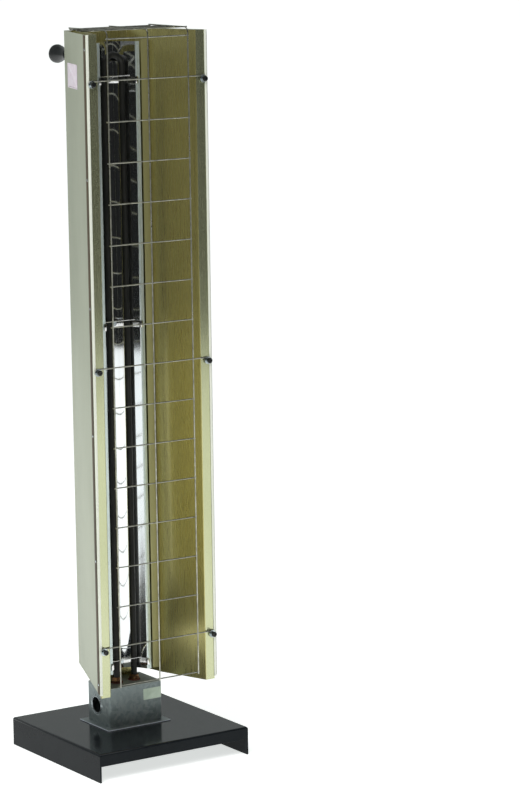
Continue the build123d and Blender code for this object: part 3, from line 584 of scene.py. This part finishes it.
def polished_copy(node, material, edge=0.2, name=None, crease=35):
    """The CAD node's own shape with its sharp edges broken."""
    bm = merged_copy(node)
    if edge:
        round_edges(bm, edge, segments=2, least=40)
    return make_piece(bm, name or f"{node}_finished", material, replaces=[node], crease=crease)


def brighten(piece, material, chosen):
    """Gives the chosen faces of a piece a second material."""
    piece.data.materials.append(material)
    for face in piece.data.polygons:
        if chosen(face):
            face.material_index = len(piece.data.materials) - 1


def shade_flat(piece):
    """Plain shading for the faces square to an axis, so that sheets with holes look even."""
    for face in piece.data.polygons:
        if max(abs(part) for part in face.normal) > 0.999:
            face.use_smooth = False


def paint_node(node, material):
    """Gives a CAD node that stays as it is one of the materials above."""
    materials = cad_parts[node].data.materials
    materials.clear()
    materials.append(material)


# ------------------------------------------------------------------ base and terminal box
def build_base():
    pan = polished_copy("base_plate", ENAMEL, 0.6, "base_pan")
    # Painted shade: the upright faces take the less reflective copy of the enamel.
    brighten(pan, SHADED_SKIRT_ENAMEL, lambda face: abs(face.normal.z) < 0.3)
    shade_flat(pan)


def build_box():
    low, high = span("box_flange_plate")
    plate = block(low, high)
    corners = [e for e in plate.edges if abs(e.verts[0].co.z - e.verts[1].co.z) > 1]
    bmesh.ops.bevel(
        plate, geom=corners, offset=3, segments=5, profile=0.5, affect="EDGES", material=-1
    )
    round_edges(plate, 0.8, 3)
    foot = make_piece(plate, "box_foot_plate", ZINC_SHEET, ["box_flange_plate"])
    # The upright edge faces take the pale steel: partly bare sheared edge, partly painted highlight.
    brighten(foot, BARE_EDGE_AND_HIGHLIGHT, lambda face: abs(face.normal.z) < 0.95)
    shade_flat(polished_copy("terminal_box", ZINC_SHEET, 0.3, "terminal_box_shell"))
    # The lid takes the paler copy of the sheet, as painted light.
    shade_flat(polished_copy("box_cover", LIT_LID_SHEET, 0.35, "box_lid"))

    box_low = span("terminal_box")[0]
    rim = turned(
        [(14.2, 0), (14.2, 0.9), (14.7, 1.3), (15.3, 1.3), (15.8, 0.8), (15.9, 0)],
        (box_low.x, KNOCKOUT_Y, KNOCKOUT_Z), (-1, 0, 0), 48,
    )
    groove = turned(
        [(17.4, 0), (17.5, 0.35), (18.0, 0.55), (18.6, 0.35), (18.7, 0)],
        (box_low.x, KNOCKOUT_Y, KNOCKOUT_Z), (-1, 0, 0), 48,
    )
    join_into(rim, groove)
    make_piece(rim, "knockout_rim", ZINC)


def build_rating_plate():
    low, high = span("rating_plate")
    plate = block(low, high)
    corners = [e for e in plate.edges if abs(e.verts[0].co.y - e.verts[1].co.y) > 0.2]
    bmesh.ops.bevel(
        plate, geom=corners, offset=1.2, segments=4, profile=0.5, affect="EDGES", material=-1
    )
    plate.normal_update()
    front = [f for f in plate.faces if f.normal.y < -0.9]
    bmesh.ops.inset_region(plate, faces=front, thickness=0.9, depth=0)
    bmesh.ops.inset_region(plate, faces=front, thickness=0.25, depth=-0.12)
    make_piece(plate, "blank_rating_plate", PLATE_LABEL, replaces=["rating_plate"])


# ------------------------------------------------------------------ housing
def build_wing(side, side_name):
    """Gold inner panel: flat front flange with a return lip, flared wall, rear lip."""
    low, high = span("reflector_wing_right")
    slope = WALL_FLARE / WALL_RUN
    outline = [
        (high.x - 9 * slope, low.y + 9),
        (high.x, low.y),
        (98.0, low.y),
        (64.0, -6.0),
        (54.0, high.y - 0.8),
        (low.x, high.y - 0.8),
    ]
    bm = folded_sheet(outline, {1: 1.5, 2: 3.0, 3: 8.0, 4: 2.0}, low.z, high.z, 0.8, edge_width=0.25)
    name = f"reflector_wing_{side_name}"
    wing = make_piece(mirrored(bm, side), f"gold_wing_{side_name}", GOLD_SHEET, [name])
    # Painted reflection: the front flange takes the paler copy of the gold.
    brighten(wing, LIT_FLANGE_SHEET, lambda face: face.center.y < (low.y + 0.5) * MM)


def build_outer_panel(side, side_name):
    """Pale outer skin: rear lip, flared wall with a sloping foot, narrow rounded front edge."""
    low, high = span("outer_panel_right")
    outline = [(low.x, high.y), (71.0, high.y), (high.x, low.y - 0.9), (high.x - 5.8, low.y - 0.9)]
    slope = Vector((0, high.y - low.y, 20)).normalized()
    foot_cut = (Vector((high.x, low.y, low.z)), Vector((0, -slope.z, slope.y)))
    bm = folded_sheet(
        outline, {1: 2.0, 2: 1.6}, low.z - 30, high.z, 0.8, edge_width=0.25, foot_cut=foot_cut
    )
    name = f"outer_panel_{side_name}"
    skin = make_piece(mirrored(bm, side), f"pale_skin_{side_name}", PALE_SHEET, [name])
    # The front return takes the near-white copy: a painted highlight.
    brighten(skin, PAINTED_HIGHLIGHT_EDGE, lambda face: face.center.y < (low.y - 0.3) * MM)

    # The gold sheet's lip, lapped over the skin along its front edge, its gold darkened almost to black
    # as painted shadow of the gap there
    outward = Vector((WALL_RUN, WALL_FLARE)).normalized()
    back = Vector((high.x, low.y)) + Vector((-WALL_FLARE, WALL_RUN)).normalized() * 14 + outward * 0.7
    front = Vector((high.x, low.y)) + Vector((-WALL_FLARE, WALL_RUN)).normalized() * 0.6 + outward * 0.7
    lip = folded_sheet([tuple(back), tuple(front)], {}, low.z + 2, high.z - 0.5, 0.6, edge_width=0.2)
    make_piece(mirrored(lip, side), f"lapped_lip_{side_name}", SHADED_GOLD_LIP)


def build_rivets(side, side_name):
    outward = Vector((WALL_RUN, WALL_FLARE, 0)).normalized()
    wall = Vector((WALL_FRONT_X - 5 * WALL_FLARE / WALL_RUN, -98.0, 0))
    head = [(0, 1.15), (1.2, 1.05), (2.1, 0.7), (2.6, 0.15), (2.6, 0), (1.9, 0), (1.9, -2.7), (0, -2.7)]
    rivets = bmesh.new()
    for row in range(6):
        spot = wall + Vector((0, 0, 158.0 + 219.0 * row))
        join_into(rivets, turned(head, spot, outward, 20))
    name = f"seam_rivets_{side_name}"
    make_piece(mirrored(rivets, side), f"domed_rivets_{side_name}", ZINC, [name])


def trough_outline(half, rim_y, floor_y, steps):
    """Points of the trough's section, from +X to -X: a flat floor that turns up into steep walls."""
    turns = [pi / 2 - pi * step / steps for step in range(steps + 1)]
    stations = [half * sin(turn) for turn in turns]
    return [(x, floor_y - (floor_y - rim_y) * abs(x / half) ** 2.4) for x in stations]


def build_mirror():
    """The trough, polished inside, with a flat satin rim along each side."""
    low, high = span("mirror_reflector")
    half, rim_width, rim_y, floor_y = 35.5, 8.5, low.y + 0.4, 26.0
    trough = trough_outline(half, rim_y, floor_y, 48)
    outline = [(half + rim_width, rim_y)] + trough + [(-half - rim_width, rim_y)]
    bm = folded_sheet(outline, {}, low.z, high.z, 1.0, edge_width=0.25)
    piece = make_piece(bm, "mirror_trough", MIRROR, ["mirror_reflector"], crease=30)
    brighten(piece, SATIN_RIM, lambda face: abs(face.center.x) > (half + 0.1) * MM)


def build_supports():
    """Spring strips that follow the trough, with ears that flare over its rims."""
    for level in ("upper", "middle", "lower"):
        low, high = span(f"element_support_{level}")
        strip = trough_outline(34.2, -5.0, 24.8, 32)
        outline = [(39.0, -8.4), (34.8, -8.4)] + strip + [(-34.8, -8.4), (-39.0, -8.4)]
        bm = folded_sheet(outline, {}, low.z, high.z, 0.6, edge_width=0.15)
        name = f"support_strip_{level}"
        make_piece(bm, name, SPRING, [f"element_support_{level}"], crease=50)


def build_rails():
    for side_name in ("left", "right"):
        polished_copy(f"trough_rail_{side_name}", RAIL_SHEET, 0.2)


def build_sticker():
    outward = Vector((-WALL_RUN, WALL_FLARE, 0)).normalized()
    wall_x = -(WALL_FRONT_X - 98.0 * WALL_FLARE / WALL_RUN)
    plate = block((-21, -37, 0.02), (21, 37, 0.32))
    corners = [e for e in plate.edges if abs(e.verts[0].co.z - e.verts[1].co.z) > 0.1]
    bmesh.ops.bevel(
        plate, geom=corners, offset=2, segments=4, profile=0.5, affect="EDGES", material=-1
    )
    plate.normal_update()
    front = [f for f in plate.faces if f.normal.z > 0.9]
    bmesh.ops.inset_region(plate, faces=front, thickness=2.0, depth=0)
    bmesh.ops.inset_region(plate, faces=front, thickness=0.3, depth=0.05)
    down = Vector((0, 0, -1))
    turn = Matrix((down, outward.cross(down), outward)).transposed().to_4x4()
    spot = Vector((wall_x, -5.0, 1203.0))
    bmesh.ops.transform(plate, matrix=Matrix.Translation(spot) @ turn, verts=plate.verts[:])
    make_piece(plate, "blank_sticker", PAPER_LABEL, replaces=["side_sticker"])


# ------------------------------------------------------------------ element
def build_element():
    """U-shaped sheathed rod on the mirror's focal line."""
    low, high = span("element_tube")
    radius = (high.y - low.y) / 2
    middle_y = (high.y + low.y) / 2
    leg_x = high.x - radius
    crown_z = high.z - radius - leg_x
    line = [(-leg_x, middle_y, low.z)]
    line += arc_points((0, crown_z), pi, 0, leg_x, 40, lambda u, v: (u, middle_y, v))
    line += [(leg_x, middle_y, low.z)]
    bm = tube_mesh([line], radius, 8)
    make_piece(bm, "element_rod", SHEATH, replaces=["element_tube"])
    build_supports()
    polished_copy("support_bails", SPRING, 0)
    polished_copy("element_bushings", BRASS, 0.3)
    polished_copy("bushing_gaskets", RED_RUBBER, 0.3)


# ------------------------------------------------------------------ guard
def wavy(line, amount, phase):
    """A wire's points with the slight bow that a hand-bent wire keeps."""
    count = len(line) - 1
    return [
        Vector(spot) + Vector((0, -amount, amount * 0.6)) * sin(pi * step / count) * sin(phase + step)
        for step, spot in enumerate(line)
    ]


def straight(start, end, steps):
    start, end = Vector(start), Vector(end)
    return [start.lerp(end, step / steps) for step in range(steps + 1)]


def weld_beads(spots, radius):
    beads = bmesh.new()
    for spot in spots:
        bead = bmesh.new()
        bmesh.ops.create_uvsphere(bead, u_segments=10, v_segments=6, radius=radius)
        bmesh.ops.scale(bead, verts=bead.verts[:], vec=(1.15, 0.8, 0.95))
        bmesh.ops.translate(bead, verts=bead.verts[:], vec=spot)
        join_into(beads, bead)
    return beads


def build_guard():
    low, high = span("wire_guard")
    top_low, top_high = span("wire_guard_top")
    radius, pitch, upright_x = 1.2, WIRE_PITCH, 80.0
    cross_y, upright_y = high.y - radius, low.y + radius
    rows = range(-1, 16)
    lines, beads = [], []
    for row in rows:
        z = 221.5 + row * pitch
        reach = 114.8 if row in (0, 7, 14) else upright_x + 3
        lines.append(wavy(straight((-reach, cross_y, z), (reach, cross_y, z), 8), 0.35, row * 1.7))
        beads += [(x, (cross_y + upright_y) / 2, z) for x in (-upright_x, 0, upright_x)]
    front = tube_mesh(lines, radius, 4)
    uprights = [
        straight((x, upright_y, low.z), (x, upright_y, high.z), 17)
        for x in (-upright_x, 0, upright_x)
    ]
    join_into(front, tube_mesh(uprights, radius, 4))
    join_into(front, weld_beads(beads, 1.9))
    make_piece(front, "guard_front_wires", BRIGHT_WIRE, replaces=["wire_guard"], crease=60)

    bend = 9.0
    run_z = top_high.z - radius - 1.6
    cross_z = run_z - 1.9
    lines, beads = [], []
    for y in (-62.0, -36.0, -10.0, 16.0):
        reach = WALL_FRONT_X + (y + 103.0) * -WALL_FLARE / WALL_RUN - 1.5
        lines.append(wavy(straight((-reach, y, cross_z), (reach, y, cross_z), 8), 0.2, y))
        beads += [(x, y, (cross_z + run_z) / 2) for x in (-upright_x, 0, upright_x)]
    for x in (-upright_x, 0, upright_x):
        line = [(x, upright_y, top_low.z)]
        line += arc_points(
            (upright_y + bend, run_z - bend), pi, pi / 2, bend, 10, lambda u, v, x=x: (x, u, v)
        )
        line.append((x, 19.0, run_z))
        lines.append(line)
    top = tube_mesh(lines, radius, 4)
    join_into(top, weld_beads(beads, 1.9))
    make_piece(top, "guard_top_wires", BRIGHT_WIRE, replaces=["wire_guard_top"], crease=60)


def build_guard_screws():
    """Washer, zinc head and black cap at each end of the three long cross wires."""
    washer_low, washer_high = span("guard_washers")
    screw_low, screw_high = span("guard_screws")
    cap_low, cap_high = span("guard_screw_caps")
    pitch = WIRE_PITCH * 7
    spots = [(side * 111.0, 216.5 + pitch * row) for side in (-1, 1) for row in range(3)]
    thick = washer_high.y - washer_low.y
    washer = [(2.3, 0), (2.3, thick), (6.3, thick), (6.6, thick - 0.3), (6.6, 0.3), (6.3, 0), (2.3, 0)]
    washers, heads, caps = bmesh.new(), bmesh.new(), bmesh.new()
    head_depth = washer_low.y - screw_low.y
    cap_depth = cap_high.y - cap_low.y
    shank = screw_high.y - washer_low.y
    for x, z in spots:
        join_into(washers, turned(washer, (x, washer_high.y, z), (0, -1, 0), 36))
        profile = [
            (0, -shank), (1.9, -shank), (1.9, 0), (4.1, 0), (4.4, 0.3), (4.4, head_depth - 0.4),
            (4.0, head_depth), (0, head_depth),
        ]
        join_into(heads, turned(profile, (x, washer_low.y, z), (0, -1, 0), 36))
        profile = [
            (0, 0), (4.5, 0), (4.7, 0.25), (4.7, cap_depth - 0.7), (4.45, cap_depth - 0.2),
            (3.9, cap_depth), (2.4, cap_depth), (2.1, cap_depth - 1.2), (0, cap_depth - 1.3),
        ]
        join_into(caps, turned(profile, (x, cap_high.y, z), (0, -1, 0), 36))
    make_piece(washers, "zinc_washers", ZINC, replaces=["guard_washers"])
    make_piece(heads, "zinc_screw_heads", ZINC, replaces=["guard_screws"])
    make_piece(caps, "black_screw_caps", BLACK_PLASTIC, replaces=["guard_screw_caps"])


# ------------------------------------------------------------------ rear
def build_rear_screws():
    back_y = span("back_panel")[1].y
    rows = [170.0 + 205.0 * row for row in range(6)]
    groups = {
        "back_panel_screws": [(side * x, z) for side in (-1, 1) for x in (64.0, 47.5) for z in rows],
        "stay_screws": [(side * 27.0, z) for z in (1191.0, 765.0, 157.0) for side in (-1, 1)],
        "box_back_screws": [(x, z) for x in (-30.0, 30.0) for z in (84.0, 100.0)],
    }
    for node, spots in groups.items():
        screws = bmesh.new()
        for x, z in spots:
            head = turned(
                [(0, -7.0), (1.9, -7.0), (1.9, 0), (3.4, 0), (3.6, 0.3), (3.45, 1.2), (2.6, 1.75),
                 (1.5, 1.85), (1.1, 1.0), (0, 0.9)],
                (x, back_y, z), (0, 1, 0), 20,
            )
            join_into(screws, head)
        make_piece(screws, f"{node}_pan_heads", ZINC, replaces=[node])


def build_knob(side_name):
    """A tapered moulded grip, wider at its far end."""
    low, high = span(f"carry_knob_{side_name}")
    length = high.y - low.y
    far_radius = (high.x - low.x) / 2
    middle = Vector(((low.x + high.x) / 2, low.y, (low.z + high.z) / 2))
    profile = [
        (4.2, 0), (far_radius * 0.62, 0), (far_radius * 0.64, 1.0), (far_radius * 0.58, 5),
        (far_radius * 0.60, length * 0.32), (far_radius * 0.74, length * 0.55),
        (far_radius * 0.93, length * 0.74), (far_radius, length * 0.86),
        (far_radius * 0.985, length * 0.93), (far_radius * 0.9, length * 0.975),
        (far_radius * 0.7, length * 0.995), (0, length),
    ]
    bm = turned(profile, middle, (0, 1, 0), 48)
    knob = f"carry_knob_{side_name}"
    make_piece(bm, f"moulded_knob_{side_name}", BLACK_PLASTIC, [knob], crease=60)


def build_rear():
    skin = polished_copy("back_panel", PALE_SHEET, 0.2, "back_skin_sheet")
    brighten(skin, GOLD_SHEET, lambda face: face.normal.y < -0.9)
    shade_flat(skin)
    build_rear_screws()
    for side_name in ("left", "right"):
        build_knob(side_name)
    polished_copy("knob_washers", ZINC, 0.2)


def paint_hidden_nodes():
    """Nodes inside the heater or under it keep their CAD shape."""
    finishes = {
        BRASS: ["bushing_nuts", "terminal_screws", "terminal_pins"],
        ZINC: [
            "guard_nuts", "box_bolts", "box_nuts", "box_cover_screws", "mirror_screws", "mirror_nuts",
            "mirror_stay_upper", "mirror_stay_middle", "mirror_stay_lower", "knob_studs", "knob_nuts",
            "switch_bracket", "switch_screws", "switch_spring",
        ],
        BLACK_PLASTIC: ["switch_body", "switch_cap", "switch_plunger", "terminal_block"],
        CERAMIC: ["pin_insulators"],
        GREY_RUBBER: ["element_lead_left", "element_lead_right"],
        BLACK_RUBBER: ["switch_lead", "lead_grommet"],
        GREEN: ["ground_screw"],
    }
    for material, nodes in finishes.items():
        for node in nodes:
            paint_node(node, material)


add_camera()
add_stage()
build_base()
build_box()
build_rating_plate()
for side, side_name in ((-1, "left"), (1, "right")):
    build_wing(side, side_name)
    build_outer_panel(side, side_name)
    build_rivets(side, side_name)
build_mirror()
build_rails()
build_sticker()
build_element()
build_guard()
build_guard_screws()
build_rear()
paint_hidden_nodes()

view = bpy.context.scene.view_settings
view.view_transform = "Standard"
view.look = "None"
